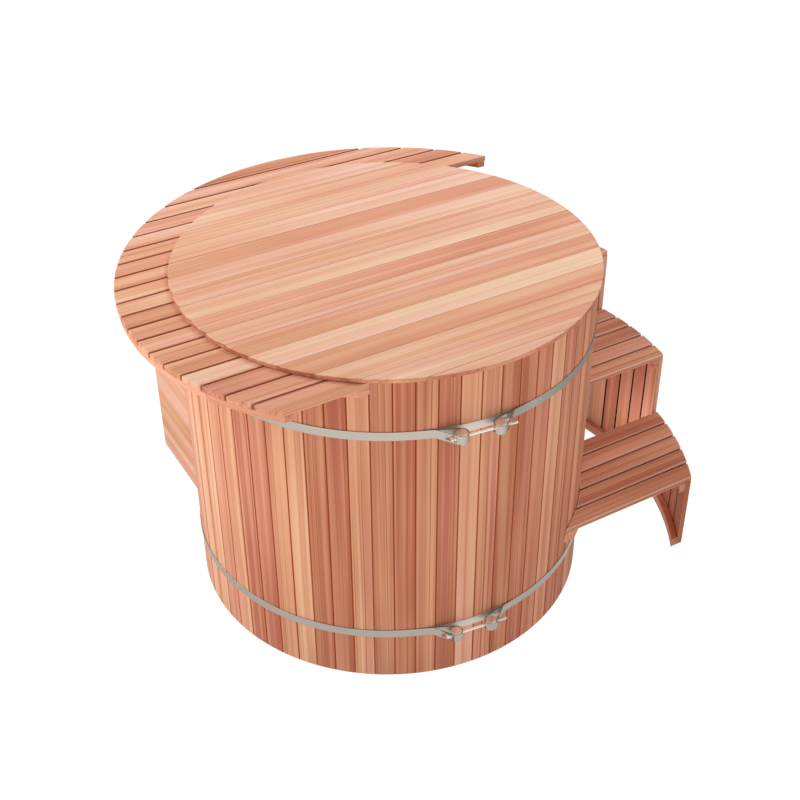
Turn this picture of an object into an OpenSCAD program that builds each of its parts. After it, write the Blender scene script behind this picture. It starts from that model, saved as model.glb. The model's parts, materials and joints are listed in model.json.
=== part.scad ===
// Round cedar plunge tub: a stave wall held by two steel hoops, a lift-off board lid,
// a slatted shelf round part of the rim, three slatted steps and a low housing behind.
// Millimetres, +Z up. The origin is on the ground at the tub's axis, and +X runs along
// the lid boards towards the steps.

/* [Tub wall] */
// Outside diameter of the stave wall
tub_d = 1220; // [1000:10:1500]
// Height of the rim above the ground
rim_h = 1060; // [960:10:1200]
// Number of staves in the wall
stave_count = 65; // [50:5:80]
// Thickness of a stave
stave_t = 38; // [28:1:48]
// Play between two staves
stave_play = 0.5; // [0.3:0.1:0.8]
// Bevel along the outer edges of a stave
stave_bevel = 2; // [1:0.5:4]
// Turn of the first stave joint about the axis, in degrees
stave_turn = 3.4; // [0:0.1:6]
// Gap between the stave ends and the ground
chime_gap = 3; // [1:1:8]

/* [Tub floor] */
// Thickness of the floor boards
floor_t = 32; // [22:1:40]
// Width of a floor board
floor_board_w = 116; // [80:1:150]
// Play between floor boards
floor_play = 0.5; // [0.3:0.1:0.8]
// Depth of the groove in the staves that holds the floor
croze_depth = 10; // [6:1:14]
// Play of the floor in its groove
croze_play = 0.3; // [0.2:0.1:0.6]
// Height of the joists under the floor
joist_h = 60; // [45:1:80]
// Width of a joist
joist_w = 60; // [40:1:80]
// Distance between joist centres
joist_pitch = 290; // [220:10:320]

/* [Hoops] */
// Height of the upper hoop's middle
upper_hoop_z = 888; // [800:1:920]
// Height of the lower hoop's middle
lower_hoop_z = 175; // [175:1:200]
// Width of the hoop strap
hoop_w = 27; // [24:1:32]
// Thickness of the hoop strap
hoop_t = 2; // [1.5:0.5:3]
// Play between the strap and the staves
hoop_play = 0.3; // [0.2:0.1:0.6]
// Gap between the round strap and each of its end pieces
strap_gap = 0.2; // [0.1:0.1:0.4]
// Turn of the hoop clamps about the axis, in degrees
clamp_turn = -97.6; // [-120:0.1:-80]
// Diameter of the clamp barrels
barrel_d = 34; // [28:1:40]
// Play between a barrel and its strap loop
barrel_play = 0.2; // [0.1:0.1:0.5]
// Distance between the two barrels of a clamp
barrel_span = 110; // [90:1:130]
// Distance of the bolt's axis from the wall
bolt_reach = 30; // [28:1:36]
// Length of the folded tail behind a strap loop
tail_run = 62; // [50:1:75]
// Thickness of the bridge plate behind the clamp
bridge_t = 1.5; // [1:0.1:2]
// Half the arc that the bridge plate covers, in degrees
bridge_half = 10.5; // [8:0.5:11]

/* [Clamp bolts] */
// Diameter of the bolt shank
bolt_d = 8; // [6:1:10]
// Radial play of the shank in a barrel
bolt_play = 0.05; // [0.03:0.01:0.1]
// Length of shank past the far barrel's axis
bolt_end = 50; // [40:1:60]
// Width of the bolt head across its flats
head_af = 13; // [12:0.5:16]
// Height of the bolt head
head_h = 8; // [6:0.5:10]
// Diameter of the saddle under the bolt head
saddle_d = 15; // [13:0.5:16]
// Height of the saddle above the barrel
saddle_h = 6; // [4:0.5:8]
// Play between the bolt head, the saddle and the barrel
seat_play = 0.3; // [0.2:0.1:0.5]
// Play round the saddle in the slot of a strap loop
slot_play = 0.8; // [0.5:0.1:1]
// Reach of that slot from the bolt's axis towards the wall
slot_reach = 15; // [10:0.5:15.5]

/* [Lid] */
// Overhang of the lid past the wall
lid_overhang = 10; // [4:1:20]
// Thickness of the lid boards
lid_t = 12; // [10:1:24]
// Width of a lid board
lid_board_w = 77; // [60:1:120]
// Play between lid boards
lid_play = 0.4; // [0.3:0.1:0.8]
// Chamfer round the lid's edge
lid_chamfer = 2; // [1:0.5:4]
// Play between the lid and the rim
lid_seat = 0.4; // [0.3:0.1:1]
// Width of a batten under the lid
batten_w = 60; // [40:1:90]
// Thickness of a batten
batten_t = 22; // [16:1:34]
// Distance between batten centres
batten_pitch = 330; // [250:10:360]
// Play between the batten ends and the wall
batten_play = 14; // [8:1:25]
// Diameter of a lid screw
screw_d = 4.5; // [4:0.1:5.5]
// Diameter of a lid screw's head
screw_head_d = 9; // [7.5:0.5:11]
// Height of a lid screw's head
screw_head_h = 3; // [2:0.5:4]
// Depth that a lid screw reaches into a board
screw_bite = 8; // [6:0.5:9]
// Radial play round a screw
screw_play = 0.1; // [0.05:0.05:0.2]

/* [Slats] */
// Width of a shelf or step slat
slat_w = 60; // [45:1:80]
// Gap between two slats
slat_gap = 7.6; // [5:0.1:10]
// Thickness of a slat
slat_t = 18; // [14:1:26]
// Play between slat ends and the tub wall
slat_play = 0.6; // [0.3:0.1:0.9]
// Thickness of the curved rails, ledgers and cleats
rail_t = 20; // [16:1:28]
// Play between curved pieces that lie against each other
curve_play = 0.3; // [0.2:0.1:0.5]

/* [Shelf] */
// Reach of the shelf from the tub wall
shelf_w = 159; // [120:1:200]
// Distance from the axis to the shelf's front edge
shelf_front = 508; // [450:1:540]
// Drop of the shelf below the rim
shelf_drop = 3; // [2:1:10]
// Number of slats left out on the step side
shelf_skip = 14; // [13:1:15]
// Height of the rail and ledger under the shelf
shelf_rail_h = 19; // [16:1:30]
// Inset of the rail from the slat ends
shelf_rail_inset = 3; // [1:1:10]

/* [Steps] */
// Reach of the steps from the tub wall
step_w = 360; // [300:5:420]
// Distance from the axis to the front of the first step
step_front = 523; // [450:1:560]
// Slats in one step
step_slats = 5; // [4:1:5]
// Height of the first step
step_1_h = 281; // [250:1:300]
// Height of the second step
step_2_h = 512; // [480:1:540]
// Height of the third step and of the housing
step_3_h = 742; // [720:1:770]
// Thickness of the upright slats in the outer walls
wall_t = 18; // [14:1:24]
// Gap between upright slats
wall_gap = 7.6; // [5:0.1:10]
// Upright slats under one step
wall_slats = 5; // [4:1:6]
// Height of the rail along the ground
ground_rail_h = 30; // [22:1:45]
// Height of the cleats and ledgers under the steps
cleat_h = 32; // [20:1:40]

/* [Housing] */
// Distance from the axis to the housing's end panel
panel_x = 459; // [420:1:480]
// Thickness of the end panel's boards
panel_t = 18; // [14:1:24]
// Boards in the end panel
panel_boards = 8; // [6:1:10]
// Play between panel boards
panel_play = 0.5; // [0.3:0.1:0.8]
// Side of the square posts
post_w = 40; // [30:1:50]
// Upright slats in the housing's curved wall
housing_slats = 20; // [16:2:22]

/* [Drain] */
// Height of the drain's axis above the tub floor
drain_rise = 36; // [33:1:40]
// Outside diameter of the drain's tube
drain_d = 33; // [26:1:38]
// Inside diameter of the drain
drain_bore = 24; // [18:1:26]
// Diameter of the drain's flange
flange_d = 58; // [50:1:64]
// Thickness of the drain's flange
flange_t = 6; // [4:0.5:10]
// Width of the locknut across its flats
locknut_af = 48; // [44:1:54]
// Thickness of the locknut
locknut_t = 12; // [8:1:18]
// Diameter of the valve's body
valve_d = 52; // [46:1:60]
// Length of the valve's body
valve_len = 70; // [60:1:90]
// Diameter of the valve's ball
ball_d = 36; // [32:1:38]
// Diameter of the valve's stem
stem_d = 10; // [8:1:14]
// Rise of the lever above the valve's body
lever_rise = 10; // [6:1:16]
// Length of the lever from the stem
lever_len = 90; // [70:1:110]
// Width of the lever
lever_w = 18; // [14:1:24]
// Thickness of the lever
lever_t = 4; // [3:0.5:6]
// Length of the hose tail
spigot_len = 45; // [35:1:60]
// Play in the valve and its seats
valve_play = 0.1; // [0.05:0.05:0.2]

/* [Hidden] */
$fn = 192;
CEDAR = [0.76, 0.50, 0.37];
CEDAR_PALE = [0.90, 0.72, 0.58];
CEDAR_DARK = [0.64, 0.39, 0.28];
STEEL = [0.74, 0.71, 0.67];
BRASS = [0.75, 0.62, 0.35];
RED = [0.68, 0.12, 0.10];

// Extra length of a cutting shape past the piece that it trims
over = 1;
// Least share of a board's width that is still laid as a board at an edge
edge_share = 0.1;
// Least share of a slat's width that is still laid as a slat at an edge
slat_share = 0.25;
// Least share of the slat pitch left behind the tub by a notched slat
notch_share = 0.3;
// Angle by which curved rails run past their square ends before the cut
rail_turn_over = 5;
// Angle by which the end slats of a curved wall run past its square ends before the cut
wall_turn_over = 1;
// Pieces in the shelf's curved rails and in the housing's
shelf_rail_pieces = 9;
housing_rail_pieces = 4;

// Wall
tub_r = tub_d / 2;
inner_r = tub_r - stave_t;
stave_pitch = 360 / stave_count;
stave_groups = 5;
stave_half = stave_pitch / 2 - asin(stave_play / 2 / tub_r);
foot_r = inner_r - over;

// Floor
floor_z = joist_h;
floor_r = inner_r + croze_depth - croze_play;
floor_pitch = floor_board_w + floor_play;
floor_rows = ceil((floor_r - floor_pitch / 2 - edge_share * floor_board_w) / floor_pitch);

// Hoops and clamps, with the clamp's middle on the local X axis
strap_r = tub_r + hoop_play + hoop_t / 2;
bolt_r = tub_r + bolt_reach;
barrel_r = barrel_d / 2;
loop_in = barrel_r + barrel_play;
loop_r = loop_in + hoop_t / 2;
barrel_dist = norm([bolt_r, barrel_span / 2]);
barrel_turn = atan2(barrel_span / 2, bolt_r);
strap_lean = acos((strap_r + loop_r) / barrel_dist);
strap_turn = barrel_turn + strap_lean;
strap_run = barrel_dist * sin(strap_lean);
tail_end = [hoop_t / 2 - loop_r, tail_run];
tail_turn = atan2(tail_end.y, tail_end.x) - acos(loop_in / norm(tail_end));
strap_start = strap_turn + asin(strap_gap / strap_r);
saddle_in = barrel_span / 2;
saddle_out = saddle_in + barrel_r + seat_play + saddle_h;
head_in = saddle_out + seat_play;
slot_w = saddle_d + 2 * slot_play;
slot_len = barrel_span + 4 * barrel_d;

// Lid
lid_r = tub_r + lid_overhang;
lid_z = rim_h + lid_seat;
lid_pitch = lid_board_w + lid_play;
lid_rows = ceil((lid_r - lid_pitch / 2 - edge_share * lid_board_w) / lid_pitch);
batten_r = inner_r - batten_play;

// Slats, shelf and steps
slat_pitch = slat_w + slat_gap;
slat_in = tub_r + slat_play;
ledger_in = tub_r + curve_play;
ledger_out = ledger_in + rail_t;
shelf_r = tub_r + shelf_w;
shelf_z = rim_h - shelf_drop - slat_t;
shelf_rows = ceil((shelf_r + shelf_front - slat_share * slat_w) / slat_pitch);
shelf_back = ceil((tub_r + shelf_front - slat_w) / slat_pitch + notch_share);
shelf_right_y = shelf_skip * slat_pitch - shelf_front;
step_r = tub_r + step_w;
step_run = step_slats * slat_pitch;
step_h = [step_1_h, step_2_h, step_3_h];
wall_in = step_r - wall_t;
cleat_out = wall_in - curve_play;
cleat_in = cleat_out - rail_t;

// Housing
housing_z = step_3_h - slat_t;
housing_y = 3 * step_run - step_front;
housing_rows = ceil((step_r - housing_y - slat_share * slat_w) / slat_pitch);
housing_a0 = asin(housing_y / step_r);
housing_a1 = acos((panel_t - panel_x) / step_r);
panel_in = panel_t - panel_x;
hoop_clear = tub_r + hoop_play + hoop_t + slat_play;
post_y0 = sqrt(pow(ledger_out + curve_play, 2) - pow(panel_in + post_w, 2));
post_y1 = sqrt(pow(wall_in - curve_play, 2) - pow(panel_in, 2));

// Drain, along the local X axis through the middle of a stave at the back
drain_stave = round((90 - stave_turn) / stave_pitch - 0.5);
drain_turn = stave_turn + (drain_stave + 0.5) * stave_pitch;
drain_z = floor_z + floor_t + drain_rise;
flange_x = sqrt(pow(inner_r, 2) - pow(flange_d / 2, 2)) - curve_play;
locknut_x = tub_r + curve_play;
valve_x = locknut_x + locknut_t;
ball_x = valve_x + valve_len / 2;
lever_z = drain_z + valve_d / 2 + lever_rise;

// A piece of a ring between two radii, two heights and two angles
module ring_sector(r0, r1, z0, z1, a0, a1) {
    rotate([0, 0, a0])
        rotate_extrude(angle = a1 - a0)
            translate([r0, z0])
                square([r1 - r0, z1 - z0]);
}

// A full ring
module ring(r0, r1, z0, z1) {
    translate([0, 0, z0])
        difference() {
            cylinder(r = r1, h = z1 - z0);
            translate([0, 0, -over])
                cylinder(r = r0, h = z1 - z0 + 2 * over);
        }
}

// A curved rail in a row of equal pieces that almost touch
module curved_rail(r0, r1, z0, z1, a0, a1, pieces) {
    turn = (a1 - a0) / pieces;
    play = asin(curve_play / r1);
    for (i = [0 : pieces - 1])
        ring_sector(r0, r1, z0, z1, a0 + i * turn, a0 + (i + 1) * turn - play);
}

// Upright slats side by side along an arc, of which the end slats may run on by an angle
module upright_slats(z1, a0, a1, count, first, last, over0, over1) {
    gap = asin(wall_gap / step_r);
    turn = (a1 - a0 + gap) / count;
    for (i = [first : last])
        ring_sector(wall_in, step_r, 0, z1,
            a0 + i * turn - (i == 0 ? over0 : 0),
            a0 + (i + 1) * turn - gap + (i == count - 1 ? over1 : 0));
}

// Cuts its children off square at two Y values
module between(y0, y1) {
    intersection() {
        children();
        translate([-step_r - over, y0, -over])
            cube([2 * (step_r + over), y1 - y0, step_3_h + 2 * over]);
    }
}

// One slat along X, trimmed to the tub wall and to an outer circle
module slat(y0, z0, x0, x1, r1) {
    intersection() {
        translate([x0, y0, z0])
            cube([x1 - x0, slat_w, slat_t]);
        ring(slat_in, r1, z0 - over, z0 + slat_t + over);
    }
}

// A stave, its middle on the local X axis, with the floor groove near its foot
module stave() {
    side = tan(stave_half);
    edge = tub_r * side - stave_bevel;
    intersection() {
        translate([0, 0, chime_gap])
            linear_extrude(rim_h - chime_gap)
                polygon([
                    [foot_r, -foot_r * side],
                    [tub_r - stave_bevel, -(tub_r - stave_bevel) * side],
                    [tub_r + over, over - edge],
                    [tub_r + over, edge - over],
                    [tub_r - stave_bevel, (tub_r - stave_bevel) * side],
                    [foot_r, foot_r * side]
                ]);
        rotate([0, 0, -stave_pitch])
            rotate_extrude(angle = 2 * stave_pitch)
                polygon([
                    [inner_r, 0],
                    [tub_r, 0],
                    [tub_r, rim_h + over],
                    [inner_r, rim_h + over],
                    [inner_r, floor_z + floor_t + croze_play],
                    [inner_r + croze_depth, floor_z + floor_t + croze_play],
                    [inner_r + croze_depth, floor_z - croze_play],
                    [inner_r, floor_z - croze_play]
                ]);
    }
}

// One of the groups that the stave wall is divided into
module stave_group(group) {
    first = floor(group * stave_count / stave_groups);
    last = floor((group + 1) * stave_count / stave_groups) - 1;
    color(CEDAR)
        for (i = [first : last])
            rotate([0, 0, stave_turn + (i + 0.5) * stave_pitch])
                if (i == drain_stave)
                    difference() {
                        stave();
                        translate([foot_r, 0, drain_z])
                            rotate([0, 90, 0])
                                cylinder(d = drain_d + 2 * curve_play, h = tub_r + over - foot_r);
                    }
                else
                    stave();
}

module staves_back_right() {
    stave_group(0);
}

module staves_back_left() {
    stave_group(1);
}

module staves_left() {
    stave_group(2);
}

module staves_front() {
    stave_group(3);
}

module staves_right() {
    stave_group(4);
}

module floor_boards() {
    color(CEDAR_PALE)
        for (i = [-floor_rows : floor_rows])
            intersection() {
                translate([-tub_r, i * floor_pitch - floor_board_w / 2, floor_z])
                    cube([tub_d, floor_board_w, floor_t]);
                cylinder(r = floor_r, h = floor_z + floor_t + over);
            }
}

module floor_joists() {
    color(CEDAR_DARK)
        for (i = [-1 : 1])
            intersection() {
                translate([i * joist_pitch - joist_w / 2, -tub_r, 0])
                    cube([joist_w, tub_d, joist_h]);
                translate([0, 0, -over])
                    cylinder(r = inner_r - curve_play, h = joist_h + 2 * over);
            }
}

// One end piece of a hoop: a straight run off the wall, a loop round a barrel and the
// tail that folds back onto the run
module strap_end() {
    tail_way = [-sin(tail_turn), cos(tail_turn)];
    tail_side = [cos(tail_turn), sin(tail_turn)];
    tail_out = (loop_in + hoop_t) * tail_side;
    tail_len = (tail_out.x - tail_end.x) / sin(tail_turn);
    rotate([0, 0, strap_turn]) {
        translate([strap_r - hoop_t / 2, -strap_run, 0])
            cube([hoop_t, strap_run, hoop_w]);
        translate([strap_r + loop_r, -strap_run, 0]) {
            ring_sector(loop_in, loop_in + hoop_t, 0, hoop_w, 180, 360 + tail_turn);
            linear_extrude(hoop_w)
                polygon([loop_in * tail_side, tail_out, tail_out + tail_len * tail_way, tail_end]);
        }
    }
}

// A hoop: the round strap and its two end pieces, slotted for the clamp bolt
module hoop(z) {
    color(STEEL)
        translate([0, 0, z - hoop_w / 2])
            rotate([0, 0, clamp_turn]) {
                ring_sector(strap_r - hoop_t / 2, strap_r + hoop_t / 2, 0, hoop_w,
                    strap_start, 360 - strap_start);
                difference() {
                    union() {
                        strap_end();
                        mirror([0, 1, 0])
                            strap_end();
                    }
                    translate([bolt_r - slot_reach, -slot_len / 2, (hoop_w - slot_w) / 2])
                        cube([slot_reach + slot_w / 2, slot_len, slot_w]);
                }
            }
}

module upper_hoop() {
    hoop(upper_hoop_z);
}

module lower_hoop() {
    hoop(lower_hoop_z);
}

// Places its children at both clamps, with the clamp's middle on the local X axis
module at_clamps() {
    for (z = [upper_hoop_z, lower_hoop_z])
        translate([0, 0, z])
            rotate([0, 0, clamp_turn])
                children();
}

module hoop_bridges() {
    color(STEEL)
        at_clamps()
            ring_sector(tub_r + hoop_play, tub_r + hoop_play + bridge_t, -hoop_w / 2, hoop_w / 2,
                -bridge_half, bridge_half);
}

module clamp_barrels() {
    color(STEEL)
        at_clamps()
            for (side = [-1, 1])
                translate([bolt_r, side * barrel_span / 2, 0])
                    difference() {
                        cylinder(r = barrel_r, h = hoop_w, center = true);
                        rotate([90, 0, 0])
                            cylinder(r = bolt_d / 2 + bolt_play, h = 2 * barrel_d, center = true);
                    }
}

module bolt_saddles() {
    color(STEEL)
        at_clamps()
            translate([bolt_r, 0, 0])
                difference() {
                    translate([0, -saddle_in, 0])
                        rotate([90, 0, 0])
                            cylinder(d = saddle_d, h = saddle_out - saddle_in);
                    translate([0, -saddle_in, 0])
                        cylinder(r = barrel_r + seat_play, h = 2 * saddle_d, center = true);
                    rotate([90, 0, 0])
                        cylinder(r = bolt_d / 2 + bolt_play, h = 2 * saddle_out);
                }
}

// A hexagon-headed clamp bolt along Y at one hoop
module tension_bolt(z) {
    head_d = head_af / cos(30);
    color(STEEL)
        translate([0, 0, z])
            rotate([0, 0, clamp_turn])
                translate([bolt_r, barrel_span / 2 + bolt_end, 0])
                    rotate([90, 0, 0]) {
                        cylinder(d = bolt_d, h = barrel_span / 2 + bolt_end + head_in + head_h / 2);
                        translate([0, 0, barrel_span / 2 + bolt_end + head_in])
                            cylinder(d = head_d, h = head_h, $fn = 6);
                    }
}

module upper_tension_bolt() {
    tension_bolt(upper_hoop_z);
}

module lower_tension_bolt() {
    tension_bolt(lower_hoop_z);
}

// Places its children where a lid screw stands, at the underside of the battens
module at_lid_screws(rows, columns) {
    for (i = rows)
        for (j = columns)
            if (norm([abs(j) * batten_pitch + batten_w / 2, i * lid_pitch]) < batten_r - screw_head_d)
                translate([j * batten_pitch, i * lid_pitch, lid_z - batten_t])
                    children();
}

// A lid screw with its head at the origin, or the hole for it
module lid_screw(play) {
    cylinder(d = screw_head_d + 2 * play, h = screw_head_h + play);
    cylinder(d = screw_d + 2 * play, h = batten_t + screw_bite + play);
}

module lid_boards() {
    color(CEDAR_PALE)
        for (i = [-lid_rows : lid_rows])
            difference() {
                intersection() {
                    translate([-lid_r - over, i * lid_pitch - lid_board_w / 2, lid_z - over])
                        cube([2 * (lid_r + over), lid_board_w, lid_t + 2 * over]);
                    rotate_extrude()
                        polygon([
                            [0, lid_z],
                            [lid_r, lid_z],
                            [lid_r, lid_z + lid_t - lid_chamfer],
                            [lid_r - lid_chamfer, lid_z + lid_t],
                            [0, lid_z + lid_t]
                        ]);
                }
                at_lid_screws([i], [-1 : 1])
                    lid_screw(screw_play);
            }
}

module lid_battens() {
    color(CEDAR_PALE)
        for (j = [-1 : 1])
            difference() {
                intersection() {
                    translate([j * batten_pitch - batten_w / 2, -tub_r, lid_z - batten_t])
                        cube([batten_w, tub_d, batten_t]);
                    translate([0, 0, lid_z - batten_t - over])
                        cylinder(r = batten_r, h = batten_t + 2 * over);
                }
                at_lid_screws([-lid_rows : lid_rows], [j])
                    translate([0, 0, -screw_play])
                        lid_screw(screw_play);
            }
}

module lid_screws() {
    color(STEEL)
        at_lid_screws([-lid_rows : lid_rows], [-1 : 1])
            lid_screw(0);
}

// The slats of the shelf from one row to another, between two X values
module shelf_slats(first, last, x0, x1) {
    color(CEDAR)
        for (i = [first : last])
            slat(i * slat_pitch - shelf_front, shelf_z, x0, x1, shelf_r);
}

module shelf_slats_left() {
    shelf_slats(0, shelf_back - 1, -shelf_r, 0);
}

module shelf_slats_back() {
    shelf_slats(shelf_back, shelf_rows - 1, -shelf_r, shelf_r);
}

module shelf_slats_right() {
    shelf_slats(shelf_skip, shelf_back - 1, 0, shelf_r);
}

// A curved rail under the shelf, cut off square below the two end slats
module shelf_curve(r0, r1) {
    right_turn = asin(shelf_right_y / r1) - rail_turn_over;
    left_turn = 180 + asin(shelf_front / r1) + rail_turn_over;
    far = 2 * shelf_r;
    color(CEDAR)
        intersection() {
            curved_rail(r0, r1, shelf_z - shelf_rail_h, shelf_z, right_turn, left_turn,
                shelf_rail_pieces);
            translate([0, 0, shelf_z - shelf_rail_h - over])
                linear_extrude(shelf_rail_h + 2 * over)
                    polygon([
                        [-far, -shelf_front],
                        [0, -shelf_front],
                        [0, shelf_right_y],
                        [far, shelf_right_y],
                        [far, far],
                        [-far, far]
                    ]);
        }
}

module shelf_rail() {
    rail_r = shelf_r - shelf_rail_inset;
    shelf_curve(rail_r - rail_t, rail_r);
}

module shelf_ledger() {
    shelf_curve(ledger_in, ledger_out);
}

// The parts of one step, counted from the lowest
function step_y(i) = i * step_run - step_front;
function step_end(i) = step_y(i) + step_run - slat_gap;
function step_z(i) = step_h[i] - slat_t;
function arc_at(y, r) = asin(y / r);

module step_tread(i) {
    color(CEDAR)
        for (j = [0 : step_slats - 1])
            slat(step_y(i) + j * slat_pitch, step_z(i), 0, step_r, step_r);
}

module step_wall(i) {
    color(CEDAR)
        between(step_y(i), step_end(i))
            upright_slats(step_z(i), arc_at(step_y(i), step_r), arc_at(step_end(i), step_r),
                wall_slats, 0, wall_slats - 1, wall_turn_over, wall_turn_over);
}

// A curved rail of one step between two radii and two heights
module step_rail(i, r0, r1, z0, z1) {
    color(CEDAR_DARK)
        between(step_y(i), step_end(i))
            ring_sector(r0, r1, z0, z1, arc_at(step_y(i), r1) - rail_turn_over,
                arc_at(step_end(i), r1) + rail_turn_over);
}

module step_cleat(i) {
    step_rail(i, cleat_in, cleat_out, step_z(i) - cleat_h, step_z(i));
}

module step_ground_rail(i) {
    step_rail(i, cleat_in, cleat_out, 0, ground_rail_h);
}

module step_ledger(i) {
    step_rail(i, ledger_in, ledger_out, step_z(i) - cleat_h, step_z(i));
}

module step_1_tread() {
    step_tread(0);
}

module step_2_tread() {
    step_tread(1);
}

module step_3_tread() {
    step_tread(2);
}

module step_1_wall() {
    step_wall(0);
}

module step_2_wall() {
    step_wall(1);
}

module step_3_wall() {
    step_wall(2);
}

module step_1_cleat() {
    step_cleat(0);
}

module step_2_cleat() {
    step_cleat(1);
}

module step_3_cleat() {
    step_cleat(2);
}

module step_1_ground_rail() {
    step_ground_rail(0);
}

module step_2_ground_rail() {
    step_ground_rail(1);
}

module step_3_ground_rail() {
    step_ground_rail(2);
}

module step_1_ledger() {
    step_ledger(0);
}

module step_2_ledger() {
    step_ledger(1);
}

module step_3_ledger() {
    step_ledger(2);
}

// The housing's top carries on from the third step, in two halves beside the tub
module housing_top() {
    color(CEDAR)
        for (i = [0 : housing_rows - 1]) {
            y0 = housing_y + i * slat_pitch;
            meets_tub = y0 < slat_in && y0 + slat_w >= slat_in;
            cut_x = meets_tub ? sqrt(pow(slat_in, 2) - pow(y0, 2)) / 2 : 0;
            if (y0 < slat_in) {
                slat(y0, housing_z, panel_in, -cut_x, step_r);
                slat(y0, housing_z, cut_x, step_r, step_r);
            }
            else
                slat(y0, housing_z, panel_in, step_r, step_r);
        }
}

module housing_wall_right() {
    color(CEDAR)
        between(housing_y, step_r + over)
            upright_slats(housing_z, housing_a0, housing_a1, housing_slats,
                0, housing_slats / 2 - 1, wall_turn_over, 0);
}

module housing_wall_left() {
    color(CEDAR)
        upright_slats(housing_z, housing_a0, housing_a1, housing_slats,
            housing_slats / 2, housing_slats - 1, wall_turn_over, 0);
}

// The arc on which the housing's rails lie, short of the corner post
module housing_curve(z0, z1) {
    post_turn = acos((panel_in + post_w + curve_play) / cleat_out);
    color(CEDAR_DARK)
        between(housing_y, step_r + over)
            curved_rail(cleat_in, cleat_out, z0, z1, housing_a0 - rail_turn_over, post_turn,
                housing_rail_pieces);
}

module housing_cleat() {
    housing_curve(housing_z - cleat_h, housing_z);
}

module housing_ground_rail() {
    housing_curve(0, ground_rail_h);
}

module housing_ledger() {
    color(CEDAR_DARK)
        between(housing_y, step_r + over)
            curved_rail(ledger_in, ledger_out, housing_z - cleat_h, housing_z,
                arc_at(housing_y, ledger_out) - rail_turn_over, acos(panel_in / ledger_out),
                housing_rail_pieces);
}

module housing_panel() {
    pitch = step_3_h / panel_boards;
    color(CEDAR)
        for (i = [0 : panel_boards - 1])
            intersection() {
                translate([-panel_x, 0, i * pitch])
                    cube([panel_t, step_r, pitch - panel_play]);
                ring(hoop_clear, step_r, -over, step_3_h + over);
            }
}

module housing_posts() {
    color(CEDAR_DARK)
        for (y = [post_y0, post_y1 - post_w])
            translate([panel_in, y, 0])
                cube([post_w, post_w, housing_z]);
}

// Turns a cylinder's axis to the drain's, which runs out of the tub through a stave
module along_drain(x) {
    rotate([0, 0, drain_turn])
        translate([x, 0, drain_z])
            rotate([0, 90, 0])
                children();
}

module drain_tube() {
    color(BRASS)
        along_drain(flange_x - flange_t)
            difference() {
                union() {
                    cylinder(d = flange_d, h = flange_t);
                    cylinder(d = drain_d, h = valve_x - flange_x + flange_t - valve_play);
                }
                translate([0, 0, -over])
                    cylinder(d = drain_bore, h = valve_x - flange_x + flange_t + 2 * over);
            }
}

module drain_locknut() {
    color(BRASS)
        along_drain(locknut_x)
            difference() {
                cylinder(d = locknut_af / cos(30), h = locknut_t - valve_play, $fn = 6);
                translate([0, 0, -over])
                    cylinder(d = drain_d + 2 * valve_play, h = locknut_t + 2 * over);
            }
}

module valve_body() {
    color(BRASS)
        along_drain(valve_x)
            difference() {
                union() {
                    cylinder(d = valve_d, h = valve_len);
                    cylinder(d = drain_d, h = valve_len + spigot_len);
                }
                translate([0, 0, -over])
                    cylinder(d = drain_bore, h = valve_len + spigot_len + 2 * over);
                translate([0, 0, valve_len / 2])
                    sphere(d = ball_d + 2 * valve_play);
                translate([0, 0, valve_len / 2])
                    rotate([0, -90, 0])
                        cylinder(d = stem_d + 2 * valve_play, h = valve_d);
            }
}

module valve_ball() {
    color(STEEL)
        rotate([0, 0, drain_turn])
            translate([ball_x, 0, drain_z])
                difference() {
                    union() {
                        sphere(d = ball_d);
                        cylinder(d = stem_d, h = lever_z - drain_z);
                    }
                    rotate([90, 0, 0])
                        cylinder(d = drain_bore, h = 2 * ball_d, center = true);
                }
}

module valve_lever() {
    color(RED)
        rotate([0, 0, drain_turn])
            translate([ball_x, 0, lever_z]) {
                cylinder(d = lever_w, h = lever_t);
                translate([-lever_w / 2, 0, 0])
                    cube([lever_w, lever_len - lever_w / 2, lever_t]);
                translate([0, lever_len - lever_w / 2, 0])
                    cylinder(d = lever_w, h = lever_t);
            }
}

staves_back_right();
staves_back_left();
staves_left();
staves_front();
staves_right();
floor_boards();
floor_joists();
upper_hoop();
lower_hoop();
hoop_bridges();
clamp_barrels();
bolt_saddles();
upper_tension_bolt();
lower_tension_bolt();
lid_boards();
lid_battens();
lid_screws();
shelf_slats_left();
shelf_slats_back();
shelf_slats_right();
shelf_rail();
shelf_ledger();
step_1_tread();
step_2_tread();
step_3_tread();
step_1_wall();
step_2_wall();
step_3_wall();
step_1_cleat();
step_2_cleat();
step_3_cleat();
step_1_ground_rail();
step_2_ground_rail();
step_3_ground_rail();
step_1_ledger();
step_2_ledger();
step_3_ledger();
housing_top();
housing_wall_right();
housing_wall_left();
housing_cleat();
housing_ground_rail();
housing_ledger();
housing_panel();
housing_posts();
drain_tube();
drain_locknut();
valve_body();
valve_ball();
valve_lever();
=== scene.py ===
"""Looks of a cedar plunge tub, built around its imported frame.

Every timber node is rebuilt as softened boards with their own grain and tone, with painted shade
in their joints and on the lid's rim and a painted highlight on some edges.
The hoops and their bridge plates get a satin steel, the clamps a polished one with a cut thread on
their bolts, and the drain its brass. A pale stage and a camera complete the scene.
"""

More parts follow.
